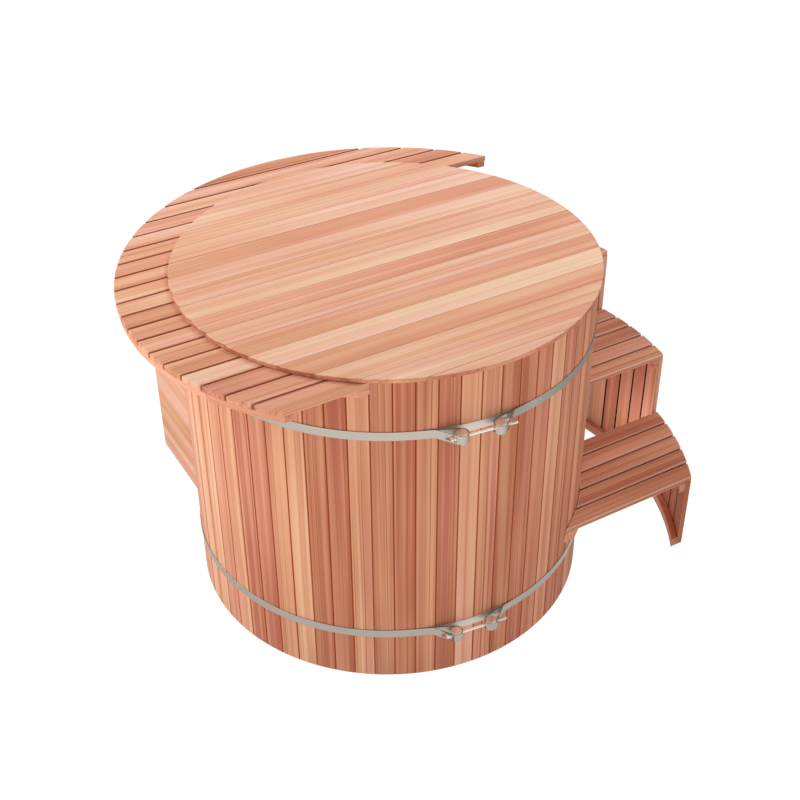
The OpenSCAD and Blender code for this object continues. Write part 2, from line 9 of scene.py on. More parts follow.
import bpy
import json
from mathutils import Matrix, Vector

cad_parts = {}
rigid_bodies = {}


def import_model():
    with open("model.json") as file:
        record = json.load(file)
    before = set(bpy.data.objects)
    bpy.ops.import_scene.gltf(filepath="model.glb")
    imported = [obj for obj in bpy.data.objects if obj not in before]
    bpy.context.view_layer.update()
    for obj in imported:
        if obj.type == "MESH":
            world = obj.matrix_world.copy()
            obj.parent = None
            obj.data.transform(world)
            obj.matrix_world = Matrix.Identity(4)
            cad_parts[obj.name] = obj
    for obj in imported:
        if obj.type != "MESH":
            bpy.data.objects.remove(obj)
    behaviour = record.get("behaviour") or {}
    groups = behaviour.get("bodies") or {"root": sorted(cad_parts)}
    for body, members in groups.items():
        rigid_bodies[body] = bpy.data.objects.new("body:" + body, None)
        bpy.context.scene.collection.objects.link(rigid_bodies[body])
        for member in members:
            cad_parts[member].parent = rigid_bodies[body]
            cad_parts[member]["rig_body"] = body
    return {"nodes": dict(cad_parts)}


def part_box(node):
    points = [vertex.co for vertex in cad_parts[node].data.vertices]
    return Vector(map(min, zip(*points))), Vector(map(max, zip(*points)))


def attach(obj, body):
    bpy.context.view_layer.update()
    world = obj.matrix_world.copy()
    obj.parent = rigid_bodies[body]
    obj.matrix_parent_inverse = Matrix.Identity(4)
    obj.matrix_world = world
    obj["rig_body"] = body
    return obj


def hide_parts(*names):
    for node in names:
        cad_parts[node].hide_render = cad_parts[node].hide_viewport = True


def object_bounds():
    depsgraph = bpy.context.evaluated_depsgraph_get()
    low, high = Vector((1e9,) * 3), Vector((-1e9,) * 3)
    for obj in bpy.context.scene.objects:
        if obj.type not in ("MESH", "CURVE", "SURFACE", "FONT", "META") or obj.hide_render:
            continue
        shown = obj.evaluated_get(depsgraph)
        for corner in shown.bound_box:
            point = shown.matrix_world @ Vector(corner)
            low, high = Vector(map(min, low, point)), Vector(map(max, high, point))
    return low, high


bl_info = {
    "name": "Cedar Plunge Tub",
    "version": (1, 0, 0),
    "blender": (4, 5, 0),
    "location": "View3D > Sidebar > Plunge Tub",
    "description": "Dresses the packed frame of a cedar plunge tub",
    "category": "Object",
}

import json
import math
import random
from collections import namedtuple

import bmesh
import bpy
from bpy.props import FloatProperty, FloatVectorProperty, IntProperty, PointerProperty
from mathutils import Matrix, Vector

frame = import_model()
CAD_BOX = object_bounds()

STAVE_NODES = (
    "staves_back_right", "staves_back_left", "staves_left", "staves_front", "staves_right",
)
SHELF_RAILS = ("shelf_rail", "shelf_ledger")
# Each step with the tones of its tread and of its outer wall; besides the wood's own tone, the
# deeper spans of the lower steps are painted shade
STEPS = {
    "step_1": ((0.72, 1.0), (0.75, 0.95)),
    "step_2": ((0.6, 0.94), (0.5, 0.8)),
    "step_3": ((0.5, 0.85), (0.3, 0.6)),
}
STEP_RAILS = ("_cleat", "_ground_rail", "_ledger")
HOUSING_RAILS = ("housing_cleat", "housing_ground_rail", "housing_ledger")
STRAP_NODES = ("upper_hoop", "lower_hoop")
BOLT_NODES = ("upper_tension_bolt", "lower_tension_bolt")

# Boards picked out by their place in the row: the lid's from the front, the wall's from +X
PALE_LID_BOARDS = (0, 1, 4, 8, 12, 13, 15, 16)
RED_LID_BOARDS = (3, 5, 7, 11)
PALE_STAVES = (29, 30, 31, 32, 33, 34, 38, 41, 46, 51)
RED_STAVES = (39, 43, 48, 50)
# How far a picked board leaves its own tone for the pale or the red one
PALE_STAVE_SHARE = 0.5
RED_LID_SHARE = 0.35

# Lowest and highest tone of the boards of each part
WALL_TONES = (0.63, 0.9)
FLOOR_TONES = (0.3, 0.6)
LID_TONES = (0.3, 0.48)
BATTEN_TONES = (0.2, 0.4)
SHELF_TONES = (0.33, 0.64)
SHELF_RAIL_TONES = (0.5, 0.65)
HOUSING_TOP_TONES = (0.5, 0.85)
HOUSING_WALL_TONES = (0.5, 0.8)
PANEL_TONES = (0.3, 0.54)
FRAME_TONES = (0.5, 0.7)
# The most that a tone changes from one end of a board to the other, and how many times on the lid
TONE_DRIFT = 0.12
LID_DRIFT_TIMES = 2

# Strength of the painted shade on the sides that face a joint, and on the softened edges
NO_JOINT_SHADE = (0.0, 0.0)
STAVE_JOINT_SHADE = (0.9, 0.8)
FLOOR_JOINT_SHADE = (0.6, 0.3)
LID_JOINT_SHADE = (0.7, 0.4)
SHELF_JOINT_SHADES = {"left": (0.6, 0.0), "back": (0.9, 0.0), "right": (0.8, 0.0)}
TREAD_JOINT_SHADE = (0.6, 0.0)
# The upright slats' gaps take the full painted shade
UPRIGHT_GAP_SHADE = (1.0, 0.3)
PANEL_JOINT_SHADE = (0.6, 0.35)
# How far the rounded edges are lightened towards the palest wood, a painted highlight
TREAD_HIGHLIGHT = 0.4
HOUSING_HIGHLIGHT = 0.5

# Each planed finish: its figure, its fibre, and the colour of the painted shade in its joints
CEDAR_FINISHES = {
    "cedar wall": (0.5, 0.12, "joint_shade_colour"),
    "cedar lid": (0.34, 0.1, "joint_shade_colour"),
    "cedar slats": (0.4, 0.12, "joint_shade_colour"),
    "cedar upright slats": (0.4, 0.12, "gap"),
    "cedar frame": (0.4, 0.3, "joint_shade_colour"),
}
# Each metal finish: its colour, the strength of its lines, its roughness, and how metallic it is
METAL_FINISHES = {
    "satin strap": ("strap", 0.2, 0.24, 1.0),
    "bridge steel": ("bridge", 0.2, 0.4, 0.6),
    "polished steel": ("polished", 0.08, 0.3, 0.8),
    "drain brass": ("brass", 0.15, 0.3, 1.0),
    "lever sleeve": ("lever", 0.1, 0.4, 0.0),
}
# Waves per metre of each pattern along, across and through a board or along a brushed part
SWAY_WAVES = (1.1, 5.0, 5.0)
CLOUD_WAVES = (1.6, 7.0, 7.0)
BLUSH_WAVES = (0.7, 11.0, 11.0)
BAND_WAVES = (0.4, 48.0, 30.0)
LINE_WAVES = (0.6, 170.0, 80.0)
RING_WAVES = (0.35, 230.0, 90.0)
FIBRE_WAVES = (9.0, 900.0, 900.0)
BRUSH_WAVES = (6.0, 1600.0, 1600.0)
PATCH_WAVES = (5.0, 24.0, 24.0)
# How far the grain lines sway, in metres
SWAY = 0.012
# How much deeper in tone end grain is, and how many times that the lid's rim is, as painted shade
# on the lid's upright side
END_DEPTH = 0.08
RIM_SHADE_TIMES = 5.0
# Tints of the wood where it blushes least and most
PLAIN_HUE = (1.0, 1.0, 0.92, 1)
BLUSH_HUE = (1.0, 0.93, 0.96, 1)

WELD_DIST = 1e-6
# Angles between faces: up to flat, from a strip on, from an edge to round on, up to smooth shading
FLAT_ANGLE = math.radians(0.4)
STRIP_ANGLE = math.radians(3)
SHARP_ANGLE = math.radians(30)
SMOOTH_ANGLE = math.radians(60)
# Shorter edges stay sharp, and wider faces are no strips
SHORTEST_SOFT_EDGE = 0.006
STRIP_WIDTH = 0.0036
# How squarely a face looks along the grain, into a joint or along a part's axis to count as such
END_FACING = 0.7
SIDE_FACING = 0.97
AXIS_FACING = 0.99
# Width of the lid's rim, which keeps clear of the painted joint shade and whose upright faces take
# painted shade
LID_RIM = 0.006
# How far the start of the grain may lie from a board's own, along, across and through it
GRAIN_SHIFT = (40, 9, 9)
# Full pull of the large faces on the shading of their edges
FLAT_WEIGHT = 100
FRONT_TURN = -math.pi / 2
Z_AXIS = Vector((0, 0, 1))

# Points of a bolt's shank and head, and steps in a turn of its thread
SHANK_POINTS = 32
HEAD_POINTS = 6
THREAD_STEPS = 20
# A bolt's end face is this deep, and its head more than this many shanks wide
BOLT_END_DEPTH = 0.001
HEAD_RATIO = 1.2
# Turns of thread left out at each end, half the ridge's foot in pitches, and its sink in depths
RUNOUT_TURNS = 2
RIDGE_HALF = 0.45
RIDGE_SINK = 0.1

# Where a lamp stands to the side, in front and up from the axis on the floor, and its size
Lamp = namedtuple("Lamp", "side front height size")
KEY_LAMP = Lamp(3.8, 0.0, 3.0, 3.0)
TOP_LAMP = Lamp(-1.6, -1.2, 4.0, 2.0)
# The small light under the steps: its place, the height it looks at, and its size
CARD_PLACE = Vector((0.72, -0.1, 0.16))
CARD_AIM_HEIGHT = 0.32
CARD_SIZE = 0.2
# Half the width of the floor, how far its light turns to the side, and a white that stays white
FLOOR_REACH = 30
FLOOR_TURN = 0.1
WHITE = 1.05
# Light panels round the room, and the softness of their edges
PANEL_COUNT = 6.0
PANEL_EDGE = 0.4


def srgb(red, green, blue):
    """A colour given in 0 to 255 display steps, as linear values."""
    return tuple(
        c / 12.92 if c <= 0.04045 else ((c + 0.055) / 1.055) ** 2.4
        for c in (red / 255, green / 255, blue / 255)
    )


class CedarLook(bpy.types.PropertyGroup):
    """Edges, colours and tones of the timber. Tones run from 0, sapwood, to 1, heartwood."""

    arris: FloatProperty(
        name="Arris", description="Width of the softened edges of a board",
        default=0.0009, min=0.0002, max=0.004, unit="LENGTH",
    )
    slat_arris: FloatProperty(
        name="Slat arris", description="Width of the rounded edges of a slat",
        default=0.002, min=0.0002, max=0.004, unit="LENGTH",
    )
    tread_arris: FloatProperty(
        name="Tread arris", description="Width of the rounded edges of a tread slat",
        default=0.004, min=0.0002, max=0.006, unit="LENGTH",
    )
    lid_arris: FloatProperty(
        name="Lid arris", description="Width of the softened edges of a lid board",
        default=0.0009, min=0.0002, max=0.003, unit="LENGTH",
    )
    stave_swell: FloatProperty(
        name="Stave swell", description="How far the wet wood of a stave swells into each joint",
        default=0.00025, min=0, max=0.001, unit="LENGTH",
    )
    pale: FloatVectorProperty(
        name="Sapwood", description="Colour of the palest wood",
        default=srgb(247, 219, 197), subtype="COLOR", min=0, max=1,
    )
    warm: FloatVectorProperty(
        name="Warm wood", description="Colour of the wood between sapwood and heartwood",
        default=srgb(229, 171, 141), subtype="COLOR", min=0, max=1,
    )
    red: FloatVectorProperty(
        name="Heartwood", description="Colour of the reddest wood",
        default=srgb(184, 113, 87), subtype="COLOR", min=0, max=1,
    )
    # Painted shade: the colour that the sides of a joint and its softened edges are darkened
    # towards
    joint_shade_colour: FloatVectorProperty(
        name="Joint stain", description="Colour of the wood in the joints between boards",
        default=srgb(168, 68, 26), subtype="COLOR", min=0, max=1,
    )
    # Painted shade: the near black that the sides deep in the gaps between upright slats are
    # darkened towards
    gap: FloatVectorProperty(
        name="Gap stain", description="Colour of the wood in the gaps between upright slats",
        default=srgb(62, 24, 14), subtype="COLOR", min=0, max=1,
    )
    pale_tone: FloatProperty(
        name="Pale board", description="Tone of the boards picked out as pale",
        default=0.28, min=0, max=1,
    )
    red_tone: FloatProperty(
        name="Red board", description="Tone of the boards picked out as red",
        default=0.85, min=0, max=1,
    )
    seed: IntProperty(
        name="Seed", description="Start of the random tones of the boards", default=11, min=0,
    )


class SteelLook(bpy.types.PropertyGroup):
    """Edges, thread and colours of the metal parts."""

    strap: FloatVectorProperty(
        name="Strap", description="Colour of the satin hoop strap",
        default=srgb(176, 174, 167), subtype="COLOR", min=0, max=1,
    )
    bridge: FloatVectorProperty(
        name="Bridge plate", description="Colour of the satin plates behind the clamps",
        default=srgb(216, 212, 205), subtype="COLOR", min=0, max=1,
    )
    polished: FloatVectorProperty(
        name="Polished steel", description="Colour of the barrels and bolts",
        default=srgb(250, 248, 244), subtype="COLOR", min=0, max=1,
    )
    brass: FloatVectorProperty(
        name="Brass", description="Colour of the drain and its valve",
        default=srgb(214, 178, 106), subtype="COLOR", min=0, max=1,
    )
    lever: FloatVectorProperty(
        name="Lever sleeve", description="Colour of the dipped sleeve on the valve lever",
        default=srgb(176, 36, 30), subtype="COLOR", min=0, max=1,
    )
    edge: FloatProperty(
        name="Metal edge", description="Width of the rounded edges of the metal parts",
        default=0.0005, min=0.0001, max=0.002, unit="LENGTH",
    )
    barrel_edge: FloatProperty(
        name="Barrel edge", description="Width of the rounded rims of the clamp barrels",
        default=0.0028, min=0.0002, max=0.004, unit="LENGTH",
    )
    thread_pitch: FloatProperty(
        name="Thread pitch", description="Distance between two turns of the bolt thread",
        default=0.00125, min=0.0008, max=0.003, unit="LENGTH",
    )
    thread_depth: FloatProperty(
        name="Thread depth", description="Depth of the bolt thread",
        default=0.0006, min=0.0002, max=0.002, unit="LENGTH",
    )
    thread_length: FloatProperty(
        name="Thread length", description="Length of the bolt that carries the thread",
        default=0.05, min=0.02, max=0.2, unit="LENGTH",
    )


class StageLook(bpy.types.PropertyGroup):
    """Floor, light and camera."""

    floor: FloatVectorProperty(
        name="Floor", description="Colour of the pale floor",
        default=(1, 1, 1), subtype="COLOR", min=0, max=1,
    )
    room_tint: FloatVectorProperty(
        name="Room tint", description="Colour of the light from the room and off the floor",
        default=(1, 0.92, 0.86), subtype="COLOR", min=0, max=1,
    )
    room_front: FloatProperty(
        name="Room light in front",
        description="Strength of the room's light on the camera's side",
        default=0.6, min=0, max=3,
    )
    room_back: FloatProperty(
        name="Room light behind", description="Strength of the room's light on the far side",
        default=0.2, min=0, max=3,
    )
    panels: FloatProperty(
        name="Light panels", description="How far the room's light panels stand out",
        default=0.6, min=0, max=1,
    )
    floor_front: FloatProperty(
        name="Floor light in front", description="Light off the floor on the camera's side",
        default=1.4, min=0, max=3,
    )
    floor_back: FloatProperty(
        name="Floor light behind", description="Light off the floor on the far side",
        default=0.35, min=0, max=3,
    )
    fade_front: FloatProperty(
        name="Fade in front", description="How far in front of the axis the floor is brightest",
        default=2.5, min=0.5, max=10, unit="LENGTH",
    )
    fade_back: FloatProperty(
        name="Fade behind", description="How far behind the axis the floor is dimmest",
        default=1.6, min=0.5, max=10, unit="LENGTH",
    )
    key: FloatProperty(
        name="Key light", description="Power of the large soft light at the left",
        default=130, min=0, max=2000, unit="POWER",
    )
    top: FloatProperty(
        name="Top light", description="Power of the soft light overhead",
        default=52, min=0, max=2000, unit="POWER",
    )
    card: FloatProperty(
        name="Step card", description="Power of the small light under the steps",
        default=0.5, min=0, max=100, unit="POWER",
    )
    azimuth: FloatProperty(
        name="Camera azimuth", description="Turn of the camera about the tub",
        default=math.radians(-30.73), subtype="ANGLE",
    )
    elevation: FloatProperty(
        name="Camera elevation", description="Angle of the camera above the horizon",
        default=math.radians(34.504), subtype="ANGLE",
    )
    camera_place: FloatVectorProperty(
        name="Camera place", description="Where the camera stands",
        default=(-1.550, -2.746, 2.848), subtype="TRANSLATION", unit="LENGTH",
    )
    lens: FloatProperty(
        name="Lens", description="Focal length of the camera, in millimetres",
        default=56.6, min=10, max=200,
    )
    shift: FloatVectorProperty(
        name="Lens shift", description="Shift of the picture, in parts of its width",
        default=(-0.0138, -0.0402), size=2,
    )


# Meshes


def islands(bm):
    """The separate solids of a mesh, each as a list of its vertices."""
    left, found = set(bm.verts), []
    for start in bm.verts:
        if start not in left:
            continue
        left.discard(start)
        solid, ahead = [start], [start]
        while ahead:
            for edge in ahead.pop().link_edges:
                for vert in edge.verts:
                    if vert in left:
                        left.discard(vert)
                        solid.append(vert)
                        ahead.append(vert)
        found.append(solid)
    return found


def clean_copy(node):
    """A CAD node's mesh with its seams closed and its flat faces whole."""
    bm = bmesh.new()
    bm.from_mesh(frame["nodes"][node].data)
    bmesh.ops.remove_doubles(bm, verts=bm.verts[:], dist=WELD_DIST)
    bmesh.ops.dissolve_limit(bm, angle_limit=FLAT_ANGLE, verts=bm.verts[:], edges=bm.edges[:])
    if not bm.faces:
        raise RuntimeError(f"{node} has no faces to dress")
    return bm


def sharp_edges(bm):
    """The edges of a mesh where two faces meet at a clear angle."""
    return [
        e for e in bm.edges if len(e.link_faces) == 2 and e.calc_face_angle(0) > SHARP_ANGLE
    ]


def soften(bm, edges, width):
    """Rounds some edges of a mesh."""
    bmesh.ops.bevel(
        bm, geom=edges, offset=width, offset_type="OFFSET", segments=2, profile=0.5,
        affect="EDGES", clamp_overlap=False,
    )
    bm.normal_update()


def is_strip(face):
    """Whether a face is a narrow strip along an edge, and no sliver of a flat side."""
    longest = max(face.edges, key=lambda e: e.calc_length())
    narrow = face.calc_area() < STRIP_WIDTH * longest.calc_length()
    return narrow and longest.calc_face_angle(0) > STRIP_ANGLE


def close_joints(verts, middle, reach):
    """Widens an upright board on both sides, round the tub's axis."""
    for vert in verts:
        out = Vector((vert.co.x, vert.co.y, 0)).normalized()
        way = math.copysign(reach, turn_between(vert.co, middle))
        vert.co += way * Z_AXIS.cross(out)


def reach_of(place):
    """The distance of a place from the tub's axis."""
    return math.hypot(place.x, place.y)


def centre_of(verts):
    """The middle of the box round some vertices."""
    low = Vector(min(v.co[i] for v in verts) for i in range(3))
    high = Vector(max(v.co[i] for v in verts) for i in range(3))
    return (low + high) / 2


def turn_of(place):
    """The angle of a place about the tub's axis, from 0 to a full turn."""
    return math.atan2(place.y, place.x) % math.tau


def turn_between(place, middle):
    """The angle from one place to another about the tub's axis, less than half a turn."""
    return (turn_of(place) - turn_of(middle) + math.pi) % math.tau - math.pi


def round_part(normal, co):
    """How far a direction points round the tub's axis at a place."""
    return (normal.y * co.x - normal.x * co.y) / reach_of(co)


# A grain gives coordinates along, across and through a board, and how square a face is to its run
Grain = namedtuple("Grain", "run end")


def upright_run(co, middle):
    """Up the board, then round the tub, then out from its axis."""
    reach = reach_of(middle)
    return Vector((co.z, turn_between(co, middle) * reach, reach_of(co) - reach))


def round_run(co, middle):
    """Round the tub, then up, then out from its axis."""
    reach = reach_of(co)
    return Vector((turn_between(co, middle) * reach, co.z - middle.z, reach))


GRAIN_X = Grain(
    lambda co, middle: Vector((co.x, co.y - middle.y, co.z - middle.z)),
    lambda normal, co: abs(normal.x),
)
GRAIN_Y = Grain(
    lambda co, middle: Vector((co.y, co.x - middle.x, co.z - middle.z)),
    lambda normal, co: abs(normal.y),
)
GRAIN_LEVEL_Y = Grain(
    lambda co, middle: Vector((co.y, co.z - middle.z, co.x - middle.x)),
    lambda normal, co: abs(normal.y),
)
GRAIN_UP = Grain(upright_run, lambda normal, co: abs(normal.z))
GRAIN_ROUND = Grain(round_run, lambda normal, co: abs(round_part(normal, co)))

# A row says how boards lie side by side, and whether its first and last side are in the open
Row = namedtuple("Row", "order along first_open last_open")


def row_y(first_open=False, last_open=False):
    """Boards side by side from the front to the back."""
    return Row(lambda c: (round(c.y, 3), c.x), lambda n, co: n.y, first_open, last_open)


def row_up(first_open=False, last_open=False):
    """Boards on top of each other."""
    return Row(lambda c: c.z, lambda n, co: n.z, first_open, last_open)


def row_round(first_open=False, last_open=False, start=0.0):
    """Boards side by side round the tub, counted from an angle."""
    return Row(lambda c: (turn_of(c) - start) % math.tau, round_part, first_open, last_open)


# Boards that stand apart have no joints
LOOSE = Row(lambda c: tuple(c), lambda n, co: 0, True, True)


def add_object(name, bm, material):
    """Turns a finished bmesh into an object with soft shading."""
    mesh = bpy.data.meshes.new(name)
    bm.normal_update()
    bm.to_mesh(mesh)
    bm.free()
    mesh.materials.append(material)
    mesh.shade_smooth()
    mesh.set_sharp_from_angle(angle=SMOOTH_ANGLE)
    obj = bpy.data.objects.new(name, mesh)
    bpy.context.scene.collection.objects.link(obj)
    weighted = obj.modifiers.new("Flat faces stay flat", "WEIGHTED_NORMAL")
    weighted.keep_sharp = True
    weighted.weight = FLAT_WEIGHT
    return obj


def settle(obj, node):
    """Lets a piece stand for a CAD node: it rides on its body and the node is hidden."""
    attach(obj, frame["nodes"][node]["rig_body"])
    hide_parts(node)


def cedar_piece(
    node, material, grain, row, tones, arris, shade=NO_JOINT_SHADE, painted_highlight=0.0, rim=math.inf, closed=0.0
):
    """One timber node as softened boards, each with its own grain and tone, and painted shade in
    its joints.

    tones gives a board's tone and its drift along the board from its number in the row.
    shade is how dark the painted shade is on the sides that face a joint, and on softened edges.
    painted_highlight is how far the softened edges are lightened as a painted highlight.
    Beyond the rim, edges take neither, and upright faces are deeper in tone as painted shade.
    closed is how far upright boards are widened on both sides.
    Returns the number of boards.
    """
    side_shade, edge_shade = shade
    bm = clean_copy(node)
    soften(bm, [e for e in sharp_edges(bm) if e.calc_length() > SHORTEST_SOFT_EDGE], arris)
    joint_at = bm.faces.layers.float.new("joint")
    end_and_rim_at = bm.faces.layers.float.new("endgrain_and_rim_shade")
    highlight_at = bm.faces.layers.float.new("painted_highlight")
    grain_at = bm.verts.layers.float_vector.new("grain")
    tone_at = bm.verts.layers.float.new("tone")
    boards = [(centre_of(verts), verts) for verts in islands(bm)]
    boards.sort(key=lambda board: row.order(board[0]))
    shuffle = random.Random(node)
    for number, (middle, verts) in enumerate(boards):
        tone, drift = tones(number)
        start = Vector([shuffle.uniform(0, reach) for reach in GRAIN_SHIFT])
        runs = [grain.run(v.co, middle) for v in verts]
        low, high = min(r.x for r in runs), max(r.x for r in runs)
        for vert, run in zip(verts, runs):
            vert[grain_at] = run + start
            vert[tone_at] = tone + drift * ((run.x - low) / (high - low) - 0.5)
        low_joint = number > 0 or not row.first_open
        high_joint = number < len(boards) - 1 or not row.last_open
        for face in {f for v in verts for f in v.link_faces}:
            centre = face.calc_center_median()
            beyond = reach_of(centre) > rim
            along = row.along(face.normal, centre)
            # Painted shade on the sides that face a joint and on the softened edges, and a painted
            # highlight on those edges
            if (along < -SIDE_FACING and low_joint) or (along > SIDE_FACING and high_joint):
                face[joint_at] = side_shade
            elif is_strip(face) and not beyond:
                face[joint_at] = edge_shade
                face[highlight_at] = painted_highlight
            # Painted shade: the upright faces of the lid's rim take a far deeper tone
            if beyond and abs(face.normal.z) < END_FACING:
                face[end_and_rim_at] = RIM_SHADE_TIMES
            elif grain.end(face.normal, centre) > END_FACING:
                face[end_and_rim_at] = 1.0
        close_joints(verts, middle, closed)
    settle(add_object(node + "_cedar", bm, material), node)
    return len(boards)


def brush(bm, grain):
    """Stores the run of the brush lines on a metal mesh."""
    grain_at = bm.verts.layers.float_vector.new("grain")
    for verts in islands(bm):
        middle = centre_of(verts)
        for vert in verts:
            vert[grain_at] = grain.run(vert.co, middle)


def metal_piece(node, material, edge, axis=Z_AXIS):
    """One metal node, rounded along the rims of the faces square to an axis."""
    bm = clean_copy(node)
    bm.normal_update()
    rims = [
        e for e in sharp_edges(bm)
        if sum(abs(f.normal.dot(axis)) > AXIS_FACING for f in e.link_faces) == 1
    ]
    soften(bm, rims, edge)
    brush(bm, GRAIN_ROUND)
    settle(add_object(node + "_metal", bm, material), node)


def ring(radius, height, count):
    """A level ring of points."""
    return [
        Vector((radius * math.cos(a), radius * math.sin(a), height))
        for a in (math.tau * i / count for i in range(count))
    ]


def skin(bm, rings):
    """A closed skin over a row of rings that have the same number of points."""
    rows = [[bm.verts.new(point) for point in points] for points in rings]
    for low, high in zip(rows, rows[1:]):
        for i in range(len(low)):
            bm.faces.new((low[i - 1], low[i], high[i], high[i - 1]))
    bm.faces.new(reversed(rows[0]))
    bm.faces.new(rows[-1])


# A bolt's foot and axis, its length, where its head starts, and the radii of its shank and head
Bolt = namedtuple("Bolt", "foot axis length under_head shank head")


def measure_bolt(node):
    """The measures of a CAD bolt."""
    cad = [v.co for v in frame["nodes"][node].data.vertices]
    tip = max(cad, key=lambda co: (co - cad[0]).length)
    tail = max(cad, key=lambda co: (co - tip).length)
    way = (tail - tip).normalized()
    reach = [(co - tip).dot(way) for co in cad]
    ends = []
    for limit in (min(reach), max(reach)):
        points = [co for co, t in zip(cad, reach) if abs(t - limit) < BOLT_END_DEPTH]
        middle = sum(points, Vector()) / len(points)
        ends.append((max((co - middle).length for co in points), middle))
    (shank, foot), (head, top) = sorted(ends, key=lambda end: end[0])
    axis = (top - foot).normalized()
    wide = [
        (co - foot).dot(axis) for co in cad
        if (co - foot).cross(axis).length > HEAD_RATIO * shank
    ]
    if not wide:
        raise RuntimeError(f"{node} has no head to dress")
    return Bolt(foot, axis, (top - foot).length, min(wide), shank, head)


def thread_ridge(look, root, shank):
    """The ridge of a thread, as a row of three points that winds up the bolt."""
    runout = RUNOUT_TURNS * look.thread_pitch
    turns = (look.thread_length - 2 * runout) / look.thread_pitch
    half = RIDGE_HALF * look.thread_pitch * Z_AXIS
    ridge = []
    for i in range(int(turns * THREAD_STEPS) + 1):
        share = i / THREAD_STEPS
        rise = (runout + share * look.thread_pitch) * Z_AXIS
        crest = root + (shank - root) * min(1, share, turns - share)
        out = Vector((math.cos(share * math.tau), math.sin(share * math.tau), 0))
        base = (root - RIDGE_SINK * look.thread_depth) * out + rise
        ridge.append([base - half, crest * out + rise, base + half])
    return ridge


def bolt_piece(node, material, look):
    """A clamp bolt with a chamfered hexagon head, a plain shank and a cut thread."""
    bolt = measure_bolt(node)
    root = bolt.shank - look.thread_depth
    bm = bmesh.new()
    skin(bm, [
        ring(root - look.thread_depth, 0, SHANK_POINTS),
        ring(root, look.thread_depth, SHANK_POINTS),
        ring(root, look.thread_length, SHANK_POINTS),
        ring(bolt.shank, look.thread_length + look.thread_depth, SHANK_POINTS),
        ring(bolt.shank, bolt.under_head, SHANK_POINTS),
    ])
    chamfer = bolt.head * (1 - math.cos(math.pi / HEAD_POINTS))
    skin(bm, [
        ring(bolt.head - chamfer, bolt.under_head, HEAD_POINTS),
        ring(bolt.head, bolt.under_head + chamfer / 2, HEAD_POINTS),
        ring(bolt.head, bolt.length - chamfer / 2, HEAD_POINTS),
        ring(bolt.head - chamfer, bolt.length, HEAD_POINTS),
    ])
    skin(bm, thread_ridge(look, root, bolt.shank))
    bmesh.ops.recalc_face_normals(bm, faces=bm.faces[:])
    brush(bm, GRAIN_UP)
    turn = bolt.axis.to_track_quat("Z", "Y").to_matrix().to_4x4()
    bm.transform(Matrix.Translation(bolt.foot) @ turn)
    settle(add_object(node + "_metal", bm, material), node)


def random_tones(name, bounds):
    """Tones drawn between two bounds, each with its drift, the same on each run."""
    draw = random.Random(f"{name} {bpy.context.scene.cedar_look.seed}")
    return lambda number: (draw.uniform(*bounds), draw.uniform(-TONE_DRIFT, TONE_DRIFT))


def towards(tone, other, share):
    """A tone moved by a share of the way to another."""
    return (1 - share) * tone + share * other


# Materials


class Wiring:
    """Adds nodes to a tree and links what is given to their inputs."""

    def __init__(self, tree):
        self.tree = tree

    def add(self, kind, inputs=None, **settings):
        """A new node with its inputs linked or set, and its settings."""
        node = self.tree.nodes.new(kind)
        for name, value in settings.items():
            setattr(node, name, value)
        for key, value in (inputs or {}).items():
            if isinstance(value, bpy.types.NodeSocket):
                self.tree.links.new(value, node.inputs[key])
            else:
                node.inputs[key].default_value = value
        return node

    def math(self, operation, a, b=0.0):
        """One step of arithmetic."""
        return self.add("ShaderNodeMath", {0: a, 1: b}, operation=operation).outputs[0]

    def total(self, first, *others):
        """The sum of several values."""
        for other in others:
            first = self.math("ADD", first, other)
        return first

    def vector(self, operation, a, b, output=0):
        """One step of vector arithmetic."""
        node = self.add("ShaderNodeVectorMath", {0: a, 1: b}, operation=operation)
        return node.outputs[output]

    def noise(self, coordinates, waves, detail, roughness=0.5):
        """Noise from 0 to 1 with its own number of waves along each coordinate."""
        return self.add(
            "ShaderNodeTexNoise",
            {
                "Vector": self.vector("MULTIPLY", coordinates, waves),
                "Scale": 1.0, "Detail": detail, "Roughness": roughness,
            },
        ).outputs["Fac"]

    def swing(self, value, amount):
        """A 0 to 1 value turned into a swing of that amount about zero."""
        return self.math("MULTIPLY", self.math("SUBTRACT", value, 0.5), amount)

    def span(self, value, low, high, to_low=0.0, to_high=1.0):
        """A value eased from one span to another."""
        return self.add(
            "ShaderNodeMapRange",
            {
                "Value": value, "From Min": low, "From Max": high,
                "To Min": to_low, "To Max": to_high,
            },
            interpolation_type="SMOOTHSTEP",
        ).outputs["Result"]

    def mix(self, factor, a, b, blend="MIX"):
        """Two colours mixed by a factor."""
        return self.add(
            "ShaderNodeMix", {0: factor, 6: a, 7: b}, data_type="RGBA", blend_type=blend,
        ).outputs[2]

    def grey(self, value):
        """A value as a grey colour."""
        return self.add("ShaderNodeCombineColor", {0: value, 1: value, 2: value}).outputs[0]


def new_group(name, inputs, outputs):
    """An empty shader node group with its sockets, and the wiring to fill it."""
    tree = bpy.data.node_groups.new(name, "ShaderNodeTree")
    for label, kind in inputs:
        tree.interface.new_socket(label, in_out="INPUT", socket_type="NodeSocket" + kind)
    for label, kind in outputs:
        tree.interface.new_socket(label, in_out="OUTPUT", socket_type="NodeSocket" + kind)
    wires = Wiring(tree)
    return tree, wires, wires.add("NodeGroupInput").outputs, wires.add("NodeGroupOutput").inputs


